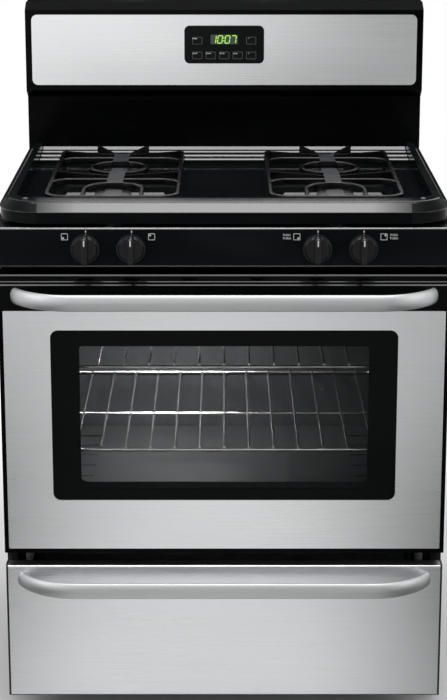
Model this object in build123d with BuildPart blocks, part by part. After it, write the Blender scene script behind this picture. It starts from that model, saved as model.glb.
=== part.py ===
from build123d import *
import os
from math import atan, degrees, radians, sin, sqrt

# Freestanding gas range, in millimetres: X to the right, Y to the back, Z up.
# The origin is on the floor under the middle of the whole box.

# Overall size
width = 759.0
height = 1184.0
depth = 719.0
handle_reach = 56.0

# Sheet metal and clearances
sheet = 1.2
frame_sheet = 2.0
seat = 0.3
running = 0.05
travel_gap = 0.3

upward = (Align.CENTER, Align.CENTER, Align.MIN)

half = width / 2
front = handle_reach - depth / 2
rear = depth / 2


def behind(distance):
    """Y of a plane so far behind the door face."""
    return front + distance


# Body
body_setback = 58.0
rear_space = 16.0
foot_height = 30.0
body_front = behind(body_setback)
body_rear = rear - rear_space
side_flange = 18.0
inner_half = half - sheet

# Cooktop
guard_rise = 270.0
rim_height = height - guard_rise
skirt_bottom = rim_height - 35.0
nose_bottom = rim_height - 17.0
nose_depth = 15.0
nose_round = 8.0
nose_edge = 1.0
nose_overhang = 3.0
cooktop_setback = 2.0
cooktop_corner = 70.0
well_floor = rim_height - 28.0
rim_width = 29.5
well_half = half - rim_width
well_front = 52.0
well_rear = 466.0
well_corner = 28.0
ledge_rise = 10.5
ledge_step = 2.25
ledge_tread = 26.0
ledge_count = 3
bead_rise = 5.0
bead_top = 3.0
cooktop_sheet = 2.0
rib_setback = 196.5
rib_size = (176.0, 13.0)
rib_rise = 4.5
rib_lean = 43.0

# Burners and grates
burner_x = 190.0
burner_front = 126.0
burner_spacing = 185.0
burner_rows = (burner_front, burner_front + burner_spacing)
head_radius = 27.0
head_height = 12.0
head_flange = 35.0
neck_radius = 18.0
neck_depth = 28.0
cap_radius = 31.5
cap_height = 9.0
cap_dome = 3.0
electrode_reach = 39.0
grate_half = 111.0
grate_top = rim_height
bar_width = 7.0
bar_height = 11.0
bar_round = 2.2
grate_front = 66.0
grate_rear = 452.0
grate_corner = 32.0
spine_width = 28.0
fin_tall = 22.0
prong_rise = 9.0

# Control panel, knobs and gas train
panel_height = 68.0
panel_top = skirt_bottom - 6.0
panel_bottom = panel_top - panel_height
panel_setback = 3.0
panel_radius = 3.0
knob_z = (panel_top + panel_bottom) / 2
knob_xs = (-230.0, -154.0, 154.0, 230.0)
knob_radius = 24.5
knob_gap = 5.0
knob_depth = 27.0
knob_skirt = 6.0
grip_width = 13.0
push_travel = 3.5
stem_radius = 4.0
stem_flat = 1.2
stem_length = 48.0
valve_radius = 13.0
pipe_radius = 9.5
pipe_setback = 54.0
pipe_end_x = half - 34.5
tube_radius = 4.0
tube_z = panel_top - 13.0
regulator_start = 600.0
regulator_radius = 30.0
inlet_radius = 9.3
inlet_depth = 16.0

# Oven
door_top = panel_bottom - 11.5
cavity_half = half - 74.5
cavity_bottom = 320.0
cavity_top = door_top - 33.5
cavity_depth = 470.0
cavity_wall = 1.5
insulation = 26.0
floor_z = 345.0
ledge_width = 12.0
ledge_height = 6.0
rack_pitch = 75.5
lower_ledge = 453.0
rack_half = cavity_half - 6.0
rack_depth = 440.0
rack_front_gap = 24.0
rack_wire = 3.0
cross_wire = 2.6
thin_wire = 2.2
rack_bars = 13
rack_bar_pitch = 43.0

# Door
door_inset = 2.5
door_half = half - door_inset
door_bottom = 299.0
door_back = 46.0
skin_margin = 7.5
skin_half = door_half - skin_margin
skin_bottom = door_bottom + 8.0
skin_top = door_top - 62.5
window_half = half - 88.5
window_bottom = 396.0
window_top = door_top - 96.5
window_corner = 13.0
glass = 3.0
rebate = 18.0
clear_half = window_half - 41.0
clear_bottom = window_bottom + 13.0
clear_top = window_top - 21.0
liner_bottom = door_bottom + 32.0
liner_toe = 40.0
plug_height = 5.5
hinge_x = half - 29.5
hinge_z = door_bottom + 23.0
hinge_setback = 26.0
hinge_plate = 5.0
hinge_pin = 4.0
hinge_cheek = 4.0
trim_depth = 3.0
vent_width = 25.0
vent_height = 5.0
vent_z = door_top - 8.0
vent_xs = (-230.0, -153.0, -57.0, 57.0, 153.0, 230.0)

# Handles
handle_height = 28.0
handle_thick = 13.0
handle_end = half - 32.0
handle_straight = handle_end - 92.0
door_handle_z = door_top - 35.5

# Drawer
drawer_inset = 3.5
drawer_half = half - drawer_inset
drawer_bottom = 32.0
drawer_top = door_bottom - 23.0
drawer_handle_z = drawer_top - 25.0
drawer_front_depth = 22.0
box_half = half - 51.5
box_bottom = 62.0
box_top = 215.0
box_depth = 538.0
box_lip = 13.0

# Backguard
guard_inset = 2.5
guard_half = half - guard_inset
splash_setback = 545.0
console_setback = 522.0
console_height = 169.0
console_bottom = height - console_height
crease_drop = 12.0
guard_crease = height - crease_drop
guard_slope = 24.0
guard_sheet = 1.5
plate_margin = 12.0
plate_half = guard_half - plate_margin
plate_bottom = console_bottom + 14.0
plate_top = guard_crease - 9.0
plate_corner = 11.0
clock_rise = 10.5
clock_z = (plate_bottom + plate_top) / 2 + clock_rise
bezel_width = 151.0
bezel_height = 72.0
bezel_corner = 10.0
bezel_thick = 3.0
clock_hole = (142.0, 64.0)
display_size = (52.0, 19.0)
display_rise = 10.0
display_z = clock_z + display_rise
key_size = (20.0, 15.0)
key_gap = 0.4
key_flange = 1.2
key_travel = 0.6
key_upper = 7.7
key_lower = -20.5
key_places = (
    (-51.0, key_upper),
    (51.0, key_upper),
    (-51.0, key_lower),
    (-25.5, key_lower),
    (0.0, key_lower),
    (25.5, key_lower),
    (51.0, key_lower),
)

os.makedirs("parts", exist_ok=True)


def slab(x, y, z, mode=Mode.ADD):
    """A box between pairs of limits."""
    with Locations(((x[0] + x[1]) / 2, (y[0] + y[1]) / 2, (z[0] + z[1]) / 2)):
        Box(x[1] - x[0], y[1] - y[0], z[1] - z[0], mode=mode)


def save(piece, name):
    """Labels a finished piece and writes it."""
    piece.part.label = name
    export_step(piece.part, f"parts/{name}.step")


def across(y):
    """An upright plane that faces the front, at a given Y."""
    return Plane.XZ.offset(-y)


# Side panels: folded sheets with flanges at the front and the rear
with BuildPart() as side_panels:
    slab((inner_half, half), (body_front, body_rear), (foot_height, skirt_bottom))
    slab((half - side_flange, inner_half), (body_front, body_front + sheet), (foot_height, skirt_bottom))
    slab((half - side_flange, inner_half), (body_rear - sheet, body_rear), (foot_height, skirt_bottom))
    mirror(about=Plane.YZ)
save(side_panels, "side_panels")

# Rear panel: a ribbed sheet with louvre slots and the gas inlet's hole
rear_panel_bottom = foot_height + 34.0
slot_row = rear_panel_bottom + 560.0
rib_end = 60.0
rib_wall = 2.0
rib_depth = 4.0
rib_height = 22.0
with BuildPart() as rear_panel:
    slab((-half, half), (body_rear, body_rear + sheet), (rear_panel_bottom, skirt_bottom))
    rib_z = (rear_panel_bottom + 120.0, rear_panel_bottom + 320.0, rear_panel_bottom + 480.0)
    for z in rib_z:
        slab(
            (-half + rib_end, half - rib_end),
            (body_rear + sheet, body_rear + sheet + rib_depth),
            (z, z + rib_height),
        )
        slab(
            (-half + rib_end + rib_wall, half - rib_end - rib_wall),
            (body_rear, body_rear + sheet + rib_depth - 1.5),
            (z + rib_wall, z + rib_height - rib_wall),
            Mode.SUBTRACT,
        )
    with BuildSketch(across(body_rear + 2 * sheet)):
        with Locations((0, slot_row)):
            with GridLocations(60.0, 26.0, 8, 3):
                SlotOverall(44.0, 9.0)
        with Locations((pipe_end_x, knob_z)):
            Circle(inlet_radius + 6.0)
    extrude(amount=4 * sheet, mode=Mode.SUBTRACT)
save(rear_panel, "rear_panel")

# Base frame: two floor channels, front posts, the rail between door and drawer, and a rear rail
rail_width = 38.0
rail_height = 24.0
post_width = 31.0
divider_bottom = drawer_top + 2.0
divider_top = door_bottom - 1.0
divider_depth = 30.0
frame_front = body_front + sheet
frame_rear = body_rear - sheet
foot_x = inner_half - rail_width / 2
foot_ys = (body_front + 45.0, body_rear - 45.0)
stud_radius = 5.0
with BuildPart() as base_frame:
    with BuildSketch(Plane.XZ.offset(-frame_front)):
        with Locations((inner_half - rail_width / 2, foot_height + rail_height / 2)):
            Rectangle(rail_width, rail_height)
        with Locations((inner_half - rail_width / 2 - frame_sheet, foot_height + rail_height / 2)):
            Rectangle(rail_width, rail_height - 2 * frame_sheet, mode=Mode.SUBTRACT)
    extrude(amount=-(frame_rear - frame_front))
    slab(
        (inner_half - post_width, inner_half),
        (frame_front, frame_front + frame_sheet),
        (foot_height, divider_top),
    )
    mirror(about=Plane.YZ)
    slab((-inner_half, inner_half), (frame_front, frame_front + divider_depth), (divider_bottom, divider_top))
    slab(
        (-inner_half + frame_sheet, inner_half - frame_sheet),
        (frame_front + frame_sheet, frame_front + divider_depth),
        (divider_bottom + frame_sheet, divider_top - frame_sheet),
        Mode.SUBTRACT,
    )
    slab((-inner_half, inner_half), (frame_rear - frame_sheet, frame_rear), (foot_height, foot_height + 60.0))
    with Locations(*[(side * foot_x, y, foot_height) for side in (-1, 1) for y in foot_ys]):
        Cylinder(stud_radius + seat, 3 * frame_sheet, mode=Mode.SUBTRACT)
save(base_frame, "base_frame")

# Levelling feet: pad, hexagon and threaded stud in one turned piece
pad_height = 8.0
with BuildPart() as levelling_feet:
    foot_places = [(side * foot_x, y, 0) for side in (-1, 1) for y in foot_ys]
    with Locations(*foot_places):
        Cylinder(16.0, pad_height, align=upward)
    with BuildSketch(Plane.XY.offset(pad_height)):
        with Locations(*[(x, y) for x, y, z in foot_places]):
            RegularPolygon(9.0, 6)
    extrude(amount=foot_height - pad_height)
    with Locations(*foot_places):
        Cylinder(stud_radius, foot_height + 16.0, align=upward)
save(levelling_feet, "levelling_feet")

# Oven cavity: a box with a front flange, rack ledges and holes for burner, probe and hinges
cavity_rear = body_front + cavity_depth
burner_z = cavity_bottom + 13.0
oven_burner_radius = 10.0
probe_x = 215.0
probe_z = cavity_top - 45.0
probe_radius = 3.0
flange_half = half - side_flange - seat
flange_bottom = divider_top + seat
flange_top = cavity_top + 32.0
ledges = [lower_ledge + step * rack_pitch for step in (-1, 0, 1, 2, 3)]
ledge_start = body_front + 18.0
ledge_end = cavity_rear - 12.0
floor_ledge = 18.0
with BuildPart() as oven_cavity:
    slab(
        (-cavity_half - cavity_wall, cavity_half + cavity_wall),
        (body_front, cavity_rear + cavity_wall),
        (cavity_bottom - cavity_wall, cavity_top + cavity_wall),
    )
    slab((-flange_half, flange_half), (body_front, body_front + cavity_wall), (flange_bottom, flange_top))
    with BuildSketch(across(body_front)):
        with Locations((0, (cavity_bottom + cavity_top) / 2)):
            RectangleRounded(2 * cavity_half, cavity_top - cavity_bottom, 14.0)
    extrude(amount=-cavity_depth, mode=Mode.SUBTRACT)
    for side in (-1, 1):
        for top in ledges:
            x_pair = sorted((side * (cavity_half - ledge_width), side * (cavity_half + 0.5)))
            slab(x_pair, (ledge_start, ledge_end), (top - ledge_height, top))
        x_pair = sorted((side * (cavity_half - floor_ledge), side * (cavity_half + 0.5)))
        slab(x_pair, (ledge_start, ledge_end), (floor_z - ledge_height, floor_z))
        with Locations((side * hinge_x, body_front, hinge_z)):
            Box(hinge_plate + 2.0, 6 * cavity_wall, 24.0, mode=Mode.SUBTRACT)
    with Locations(across(cavity_rear)):
        with Locations((0, burner_z)):
            Cylinder(oven_burner_radius + seat, 6 * cavity_wall, mode=Mode.SUBTRACT)
        with Locations((probe_x, probe_z)):
            Cylinder(probe_radius + seat, 6 * cavity_wall, mode=Mode.SUBTRACT)
save(oven_cavity, "oven_cavity")

# Oven floor: a removable panel with heat slots along both sides and a turned-up front edge
floor_half = cavity_half - seat
floor_front = ledge_start
with BuildPart() as oven_floor:
    slab((-floor_half, floor_half), (floor_front, ledge_end), (floor_z, floor_z + sheet))
    slab((-floor_half, floor_half), (floor_front, floor_front + sheet), (floor_z, floor_z + 9.0))
    with BuildSketch(Plane.XY.offset(floor_z)):
        with Locations((0, (floor_front + ledge_end) / 2)):
            with GridLocations(2 * (floor_half - 46.0), 54.0, 2, 7):
                SlotOverall(42.0, 8.0)
    extrude(amount=2 * sheet, mode=Mode.SUBTRACT)
save(oven_floor, "oven_floor")

# Insulation: a blanket round the top, bottom, sides and back of the cavity
wrap_half = cavity_half + cavity_wall + seat
wrap_front = body_front + cavity_wall + seat
wrap_bottom = cavity_bottom - cavity_wall - seat
wrap_top = cavity_top + cavity_wall + seat
wrap_rear = cavity_rear + cavity_wall + seat
blanket_bottom = flange_bottom + cavity_wall
with BuildPart() as oven_insulation:
    slab(
        (-wrap_half - insulation, wrap_half + insulation),
        (wrap_front, wrap_rear + insulation),
        (blanket_bottom, wrap_top + insulation),
    )
    with BuildSketch(Plane.XZ.offset(-wrap_front)):
        with Locations((0, (wrap_bottom + wrap_top) / 2)):
            Rectangle(2 * wrap_half, wrap_top - wrap_bottom)
    extrude(amount=-(wrap_rear - wrap_front), mode=Mode.SUBTRACT)
    with Locations(across(wrap_rear)):
        with Locations((0, burner_z)):
            Cylinder(oven_burner_radius + 2.0, 3 * insulation, mode=Mode.SUBTRACT)
        with Locations((probe_x, probe_z)):
            Cylinder(probe_radius + 2.0, 3 * insulation, mode=Mode.SUBTRACT)
save(oven_insulation, "oven_insulation")

# Oven burner: a ported tube under the oven floor, with a foot at its closed end
burner_start = body_front + 60.0
burner_end = wrap_rear + insulation + 30.0
foot_length = 20.0
with BuildPart() as oven_burner:
    with BuildSketch(across(burner_start)):
        with Locations((0, burner_z)):
            Circle(oven_burner_radius)
    extrude(amount=-(burner_end - burner_start))
    slab(
        (-14.0, 14.0),
        (burner_start + 4.0, burner_start + 4.0 + foot_length),
        (cavity_bottom + seat, burner_z),
    )
    with BuildSketch(across(burner_end)):
        with Locations((0, burner_z)):
            Circle(oven_burner_radius - 1.5)
    extrude(amount=burner_end - burner_start - 3.0, mode=Mode.SUBTRACT)
    with Locations((0, (burner_start + cavity_rear) / 2, burner_z)):
        with GridLocations(0, 20.0, 1, 18):
            Box(3 * oven_burner_radius, 3.0, 3.0, mode=Mode.SUBTRACT)
save(oven_burner, "oven_burner")

# Temperature probe: a thin rod with its flange on the back wall
probe_length = 105.0
with BuildPart() as temperature_probe:
    with BuildSketch(across(cavity_rear + 20.0)):
        with Locations((probe_x, probe_z)):
            Circle(probe_radius)
    extrude(amount=probe_length + 20.0)
    fillet(temperature_probe.faces().sort_by(Axis.Y)[0].edges(), probe_radius * 0.8)
    slab(
        (probe_x - 18.0, probe_x + 18.0),
        (cavity_rear - seat - sheet, cavity_rear - seat),
        (probe_z - 9.0, probe_z + 9.0),
    )
save(temperature_probe, "temperature_probe")

# Cooktop: a pressed top with a round nose, a recessed well and a stepped rear ledge
cooktop_front = behind(cooktop_setback)
cooktop_rear = body_rear
cooktop_mid = (cooktop_front + cooktop_rear) / 2
cooktop_length = cooktop_rear - cooktop_front
ledge_zs = [well_floor + ledge_rise + ledge_step * n for n in range(ledge_count)]
ledge_top = ledge_zs[-1]
ledge_ys = [behind(well_rear + ledge_tread * n) for n in range(ledge_count)]
rim_end = behind(splash_setback) - 2.0
ledge_profile = [(ledge_ys[0], well_floor)]
for y, z in zip(ledge_ys, ledge_zs):
    ledge_profile += [(y, z - ledge_step), (y + ledge_step, z)]
ledge_profile.append((rim_end - bead_top - bead_rise, ledge_top))
ledge_under = [(y + cooktop_sheet, z - cooktop_sheet) for y, z in ledge_profile]
ledge_profile += [
    (rim_end - bead_top, ledge_top + bead_rise),
    (rim_end, ledge_top + bead_rise),
    (rim_end, ledge_top - cooktop_sheet),
]


def cooktop_plan(inset):
    """The cooktop's outline seen from above, drawn in by an inset, with swept front corners."""
    with BuildSketch() as plan:
        with Locations((0, cooktop_mid)):
            Rectangle(width - 2 * inset, cooktop_length - 2 * inset)
        fillet(plan.vertices().group_by(Axis.Y)[0], cooktop_corner - inset)
    return plan.sketch


nose_rise = rim_height - nose_bottom
nose_slope = degrees(atan(nose_depth / nose_rise))
with BuildPart() as cooktop:
    extrude(Plane.XY.offset(skirt_bottom) * cooktop_plan(nose_overhang), amount=nose_bottom - skirt_bottom)
    extrude(Plane.XY.offset(nose_bottom) * cooktop_plan(0), amount=nose_rise, taper=nose_slope)
    fillet(cooktop.faces().sort_by(Axis.Z)[-1].edges(), nose_round)
    lip_edges = cooktop.edges().filter_by_position(Axis.Z, nose_bottom - 0.1, nose_bottom + 0.1)
    lip_front = lip_edges.filter_by(Axis.X).sort_by(Axis.Y)[0]
    fillet(lip_front, nose_edge)
    extrude(
        Plane.XY.offset(skirt_bottom) * cooktop_plan(nose_overhang + cooktop_sheet),
        amount=nose_bottom - skirt_bottom,
        mode=Mode.SUBTRACT,
    )
    extrude(
        Plane.XY.offset(nose_bottom) * cooktop_plan(nose_overhang + cooktop_sheet),
        amount=nose_rise - cooktop_sheet,
        taper=nose_slope,
        mode=Mode.SUBTRACT,
    )
    slab(
        (-well_half - cooktop_sheet, well_half + cooktop_sheet),
        (behind(well_front) - cooktop_sheet, ledge_ys[0]),
        (well_floor - cooktop_sheet, rim_height),
    )
    slab(
        (-well_half - cooktop_sheet, well_half + cooktop_sheet),
        (ledge_ys[0] - cooktop_sheet, rim_end),
        (well_floor - cooktop_sheet, rim_height),
    )
    with BuildSketch(Plane.XY.offset(well_floor)) as well:
        with Locations((0, (behind(well_front) + rim_end) / 2)):
            Rectangle(2 * well_half, rim_end - behind(well_front))
        fillet(well.vertices().group_by(Axis.Y)[0], well_corner)
    extrude(amount=rim_height, mode=Mode.SUBTRACT)
    slab(
        (-half - 1.0, half + 1.0),
        (rim_end, cooktop_rear + 1.0),
        (ledge_top, rim_height + 1.0),
        Mode.SUBTRACT,
    )
    slab(
        (-half + nose_overhang, half - nose_overhang),
        (rim_end, cooktop_rear),
        (ledge_top - cooktop_sheet, ledge_top),
    )
    slab(
        (-well_half, well_half),
        (ledge_ys[0] + cooktop_sheet, rim_end),
        (well_floor - 2 * cooktop_sheet, well_floor + 1.0),
        Mode.SUBTRACT,
    )
    with BuildSketch(Plane.YZ):
        with BuildLine():
            Polyline(*ledge_profile, *ledge_under[::-1], close=True)
        make_face()
    extrude(amount=well_half + cooktop_sheet, both=True)
    burner_places = [(side * burner_x, behind(row)) for row in burner_rows for side in (-1, 1)]
    with Locations(*[(x, y, well_floor) for x, y in burner_places]):
        Cylinder(neck_radius + seat, 4 * cooktop_sheet, mode=Mode.SUBTRACT)
    for z, mode in ((well_floor, Mode.ADD), (well_floor - cooktop_sheet, Mode.SUBTRACT)):
        with BuildSketch(Plane.XY.offset(z)):
            with Locations((-burner_x, behind(rib_setback)), (burner_x, behind(rib_setback))):
                Rectangle(*rib_size)
        extrude(amount=rib_rise, taper=rib_lean, mode=mode)
save(cooktop, "cooktop")

# Burner heads: turned heads with a ring of flame ports, necked down through the cooktop
head_top = well_floor + head_height
port_count = 18
with BuildPart() as burner_heads:
    with BuildSketch(Plane.XZ):
        with BuildLine():
            Polyline(
                (0, well_floor - neck_depth),
                (neck_radius, well_floor - neck_depth),
                (neck_radius, well_floor),
                (head_flange, well_floor),
                (head_flange, well_floor + 2.0),
                (head_radius, well_floor + 5.0),
                (head_radius, head_top),
                (head_radius - 5.0, head_top),
                (head_radius - 5.0, well_floor + 3.0),
                (0, well_floor + 3.0),
                close=True,
            )
        make_face()
    revolve(axis=Axis.Z)
    with Locations((0, 0, head_top - 2.5)):
        with PolarLocations(head_radius - 2.5, port_count):
            Box(8.0, 2.6, 3.0, mode=Mode.SUBTRACT)
    one_head = burner_heads.part
with BuildPart() as burner_heads:
    with Locations(*[(x, y, 0) for x, y in burner_places]):
        add(one_head)
save(burner_heads, "burner_heads")

# Spark electrodes: a ceramic stalk with a metal tip beside each head
electrode_base = 3.4
with BuildPart() as spark_electrodes:
    electrode_places = [(x + electrode_reach, y, well_floor) for x, y in burner_places]
    with Locations(*electrode_places):
        Cylinder(electrode_base, 6.0, align=upward)
        Cylinder(2.4, 11.0, align=upward)
        Cylinder(0.9, 15.0, align=upward)
save(spark_electrodes, "spark_electrodes")


def make_cap(x, y):
    """A domed cap with a locating spigot, seated on its burner head."""
    base = head_top + travel_gap
    spigot = head_radius - 6.0
    dome_radius = (cap_radius**2 + cap_dome**2) / (2 * cap_dome)
    dome_sag = dome_radius - sqrt(dome_radius**2 - (cap_radius / 2) ** 2)
    with BuildPart() as cap:
        with BuildSketch(Plane.XZ):
            with BuildLine():
                Polyline(
                    (0, base - 3.0),
                    (spigot, base - 3.0),
                    (spigot, base),
                    (cap_radius - 2.0, base),
                    (cap_radius, base + 2.0),
                    (cap_radius, base + cap_height - cap_dome),
                )
                ThreePointArc(
                    (cap_radius, base + cap_height - cap_dome),
                    (cap_radius / 2, base + cap_height - dome_sag),
                    (0, base + cap_height),
                )
                Line((0, base + cap_height), (0, base - 3.0))
            make_face()
        revolve(axis=Axis.Z)
    with BuildPart() as placed:
        with Locations((x, y, 0)):
            add(cap.part)
    return placed


cap_names = ("front_left", "front_right", "rear_left", "rear_right")
for cap_name, (x, y) in zip(cap_names, burner_places):
    save(make_cap(x, y), f"burner_cap_{cap_name}")


def make_grate(x_centre):
    """One cast two-burner grate: side rails, rounded cross bars, rings, tapered fins and feet."""
    low = grate_top - bar_height
    foot = well_floor + travel_gap
    rear_bar = behind(burner_rows[1] + 84.0)
    mid_bar = behind(burner_rows[0] + 79.0)
    ring_radius = cap_radius + 18.0
    mid = behind(sum(burner_rows) / 2)
    node = behind(grate_rear - 34.0)
    rear_end = behind(grate_rear)
    front_bar = behind(grate_front)
    corner_drop = grate_corner + 8.0
    fin_lines = [
        ((spine_width / 2 - 2.0, mid + 11.0), (grate_half, mid + 48.0)),
        ((spine_width / 2 - 2.0, node), (grate_half, rear_end)),
    ]
    loop_y = behind(burner_rows[0])
    ring_y = behind(burner_rows[1])
    spine_top = ring_y + ring_radius
    bar_runs = [
        FilletPolyline(
            (-grate_half, bar + drop), (-grate_half, bar), (grate_half, bar), (grate_half, bar + drop),
            radius=grate_corner,
        )
        for bar, drop in ((rear_bar, -corner_drop), (mid_bar, -corner_drop), (front_bar, corner_drop))
    ]
    for side in (-1, 1):
        bar_runs.append(Line((side * grate_half, front_bar + grate_corner), (side * grate_half, rear_end)))
        bar_runs.append(Line((side * ring_radius, front_bar), (side * ring_radius, loop_y)))
        bar_runs.append(CenterArc((0, loop_y), ring_radius, 90, -side * 90))
    with BuildPart() as grate:
        for run in bar_runs:
            run_start = run @ 0
            run_way = run % 0
            with BuildSketch(
                Plane(
                    origin=(run_start.X, run_start.Y, grate_top),
                    x_dir=Vector(0, 0, 1).cross(run_way),
                    z_dir=run_way,
                )
            ) as bar_section:
                with Locations((0, -bar_height / 2)):
                    Rectangle(bar_width, bar_height)
                fillet(bar_section.vertices().group_by(Axis.Z)[-1], bar_round)
            sweep(path=Plane.XY.offset(grate_top) * Wire(run.edges()))
        with BuildSketch(Plane.XZ.offset(-ring_y)) as ring_section:
            with Locations((ring_radius, grate_top - bar_height / 2)):
                Rectangle(bar_width, bar_height)
            fillet(ring_section.vertices().group_by(Axis.Z)[-1], bar_round)
        revolve(axis=Axis((0, ring_y, 0), (0, 0, 1)))
        with BuildSketch(Plane.XY.offset(low)):
            spine_front = loop_y + ring_radius
            ring_front = ring_y - ring_radius
            with Locations((0, (spine_front + ring_front) / 2)):
                Rectangle(spine_width, ring_front - spine_front)
            with Locations((0, (spine_top + node) / 2)):
                Rectangle(spine_width, node - spine_top + 16.0)
        extrude(amount=bar_height)
        for inner, outer in fin_lines:
            for side in (-1, 1):
                run = Vector(side * (outer[0] - inner[0]), outer[1] - inner[1], 0)
                base = (side * inner[0], inner[1], 0)
                upright = Plane(origin=base, x_dir=run, z_dir=run.cross(Vector(0, 0, 1)))
                with BuildSketch(upright):
                    with BuildLine():
                        Polyline(
                            (0, grate_top),
                            (run.length, grate_top),
                            (run.length, grate_top - fin_tall),
                            (run.length * 0.8, grate_top - fin_tall * 0.62),
                            (0, low + 2.0),
                            close=True,
                        )
                    make_face()
                extrude(amount=bar_width / 2, both=True)
        for side in (-1, 1):
            tip = Vector(side * 46.0, behind(well_rear - 8.0), 0)
            root = Vector(side * (spine_width / 2 - 3.0), node, 0)
            run = tip - root
            upright = Plane(origin=tuple(root), x_dir=run, z_dir=run.cross(Vector(0, 0, 1)))
            with BuildSketch(upright):
                with BuildLine():
                    Polyline(
                        (0, grate_top),
                        (run.length, grate_top + prong_rise),
                        (run.length, foot),
                        (run.length - 9.0, foot),
                        (run.length - 11.0, low),
                        (0, low + 2.0),
                        close=True,
                    )
                make_face()
            extrude(amount=bar_width / 2, both=True)
            for y in (front_bar + grate_corner, mid + 48.0, rear_end):
                with Locations((side * grate_half, y, foot)):
                    Cone(bar_width * 0.5, bar_width * 0.7, low + 2.0 - foot, align=upward)
    with BuildPart() as placed:
        with Locations((x_centre, 0, 0)):
            add(grate.part)
    return placed


save(make_grate(-burner_x), "grate_left")
save(make_grate(burner_x), "grate_right")

# Control panel: a folded channel with closed ends and four stem holes
panel_front = behind(panel_setback)
panel_rear = body_front - seat
with BuildPart() as control_panel:
    slab((-half, half), (panel_front, panel_rear), (panel_bottom, panel_top))
    fillet(control_panel.faces().sort_by(Axis.Y)[0].edges(), panel_radius)
    slab(
        (-half + sheet, half - sheet),
        (panel_front + panel_radius, panel_rear + 1.0),
        (panel_bottom + sheet, panel_top - sheet),
        Mode.SUBTRACT,
    )
    with Locations(across(panel_front)):
        with Locations(*[(x, knob_z) for x in knob_xs]):
            Cylinder(stem_radius + 3.0, 8 * panel_radius, mode=Mode.SUBTRACT)
save(control_panel, "control_panel")

# Burner valves: a body on the manifold, a front boss for the stem and an outlet on top
knob_back = panel_front - knob_gap
stem_front = knob_back - 17.0
stem_back = stem_front + stem_length
valve_front = panel_front + panel_radius + 3.0
valve_back = behind(pipe_setback) - pipe_radius
valve_mid = (valve_front + 8.0 + valve_back) / 2
outlet_top = knob_z + valve_radius + 3.0
with BuildPart() as burner_valves:
    for x in knob_xs:
        with BuildSketch(across(valve_front)):
            with Locations((x, knob_z)):
                Circle(valve_radius * 0.65)
        extrude(amount=-10.0)
        with BuildSketch(across(valve_front + 8.0)):
            with Locations((x, knob_z)):
                RegularPolygon(valve_radius, 8)
        extrude(amount=-(valve_back - valve_front - 8.0))
        with Locations((x, valve_mid, knob_z)):
            Cylinder(tube_radius + 2.0, outlet_top - knob_z, align=upward)
        with BuildSketch(across(valve_front)):
            with Locations((x, knob_z)):
                Circle(stem_radius + running)
        extrude(amount=-(stem_back - valve_front + 1.0), mode=Mode.SUBTRACT)
save(burner_valves, "burner_valves")

# Gas manifold: the front pipe, a bend and the run back to the regulator, hung on two straps
pipe_y = behind(pipe_setback)
strap_xs = (-280.0, 280.0)
with BuildPart() as gas_manifold:
    with BuildLine() as pipe_run:
        FilletPolyline(
            (-pipe_end_x + 40.0, pipe_y, knob_z),
            (pipe_end_x, pipe_y, knob_z),
            (pipe_end_x, behind(regulator_start), knob_z),
            radius=3 * pipe_radius,
        )
    with BuildSketch(Plane(origin=pipe_run.line @ 0, z_dir=pipe_run.line % 0)):
        Circle(pipe_radius)
    sweep()
    for x in strap_xs:
        slab((x - 9.0, x + 9.0), (pipe_y - 1.5, pipe_y + 1.5), (knob_z, panel_top - sheet - seat))
save(gas_manifold, "gas_manifold")

# Pressure regulator: a round diaphragm body between two bosses, with a threaded inlet at the rear
inlet_face = body_rear + sheet + 12.0
regulator_mid = behind(regulator_start) + 18.0
with BuildPart() as pressure_regulator:
    with BuildSketch(Plane.XY.offset(knob_z)):
        with BuildLine():
            Polyline(
                (pipe_end_x, behind(regulator_start)),
                (pipe_end_x + inlet_radius + 4.0, behind(regulator_start)),
                (pipe_end_x + inlet_radius + 4.0, regulator_mid - 10.0),
                (pipe_end_x + regulator_radius - 3.0, regulator_mid - 8.0),
                (pipe_end_x + regulator_radius, regulator_mid - 3.0),
                (pipe_end_x + regulator_radius, regulator_mid + 3.0),
                (pipe_end_x + regulator_radius - 3.0, regulator_mid + 8.0),
                (pipe_end_x + inlet_radius + 4.0, regulator_mid + 10.0),
                (pipe_end_x + inlet_radius + 4.0, inlet_face),
                (pipe_end_x + inlet_radius, inlet_face),
                (pipe_end_x + inlet_radius, inlet_face - inlet_depth),
                (pipe_end_x, inlet_face - inlet_depth),
                close=True,
            )
        make_face()
    revolve(axis=Axis((pipe_end_x, 0, knob_z), (0, 1, 0)))
save(pressure_regulator, "pressure_regulator")

# Burner tubes: one from each valve outlet up and back to the neck of its burner head
tube_bend = 9.0
with BuildPart() as burner_tubes:
    for x in knob_xs:
        side = 1 if x > 0 else -1
        row = burner_rows[0] if abs(x) > burner_x else burner_rows[1]
        end_y = behind(row) - neck_radius - 0.2
        with BuildLine() as tube_run:
            FilletPolyline(
                (x, valve_mid, outlet_top),
                (x, valve_mid, tube_z),
                (x, end_y - 44.0, tube_z),
                (side * burner_x, end_y - 20.0, tube_z),
                (side * burner_x, end_y, tube_z),
                radius=(4.5, tube_bend, tube_bend),
            )
        with BuildSketch(Plane(origin=tube_run.line @ 0, z_dir=tube_run.line % 0)):
            Circle(tube_radius)
        sweep()
save(burner_tubes, "burner_tubes")


def make_stem(x):
    """A valve stem with a flat for its knob."""
    with BuildPart() as stem:
        with BuildSketch(across(stem_front)):
            with Locations((x, knob_z)):
                Circle(stem_radius)
        extrude(amount=-stem_length)
        slab(
            (x - stem_radius, x + stem_radius),
            (stem_front - 1.0, knob_back - 1.0),
            (knob_z - stem_radius - 1.0, knob_z - stem_radius + stem_flat),
            Mode.SUBTRACT,
        )
    return stem


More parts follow.
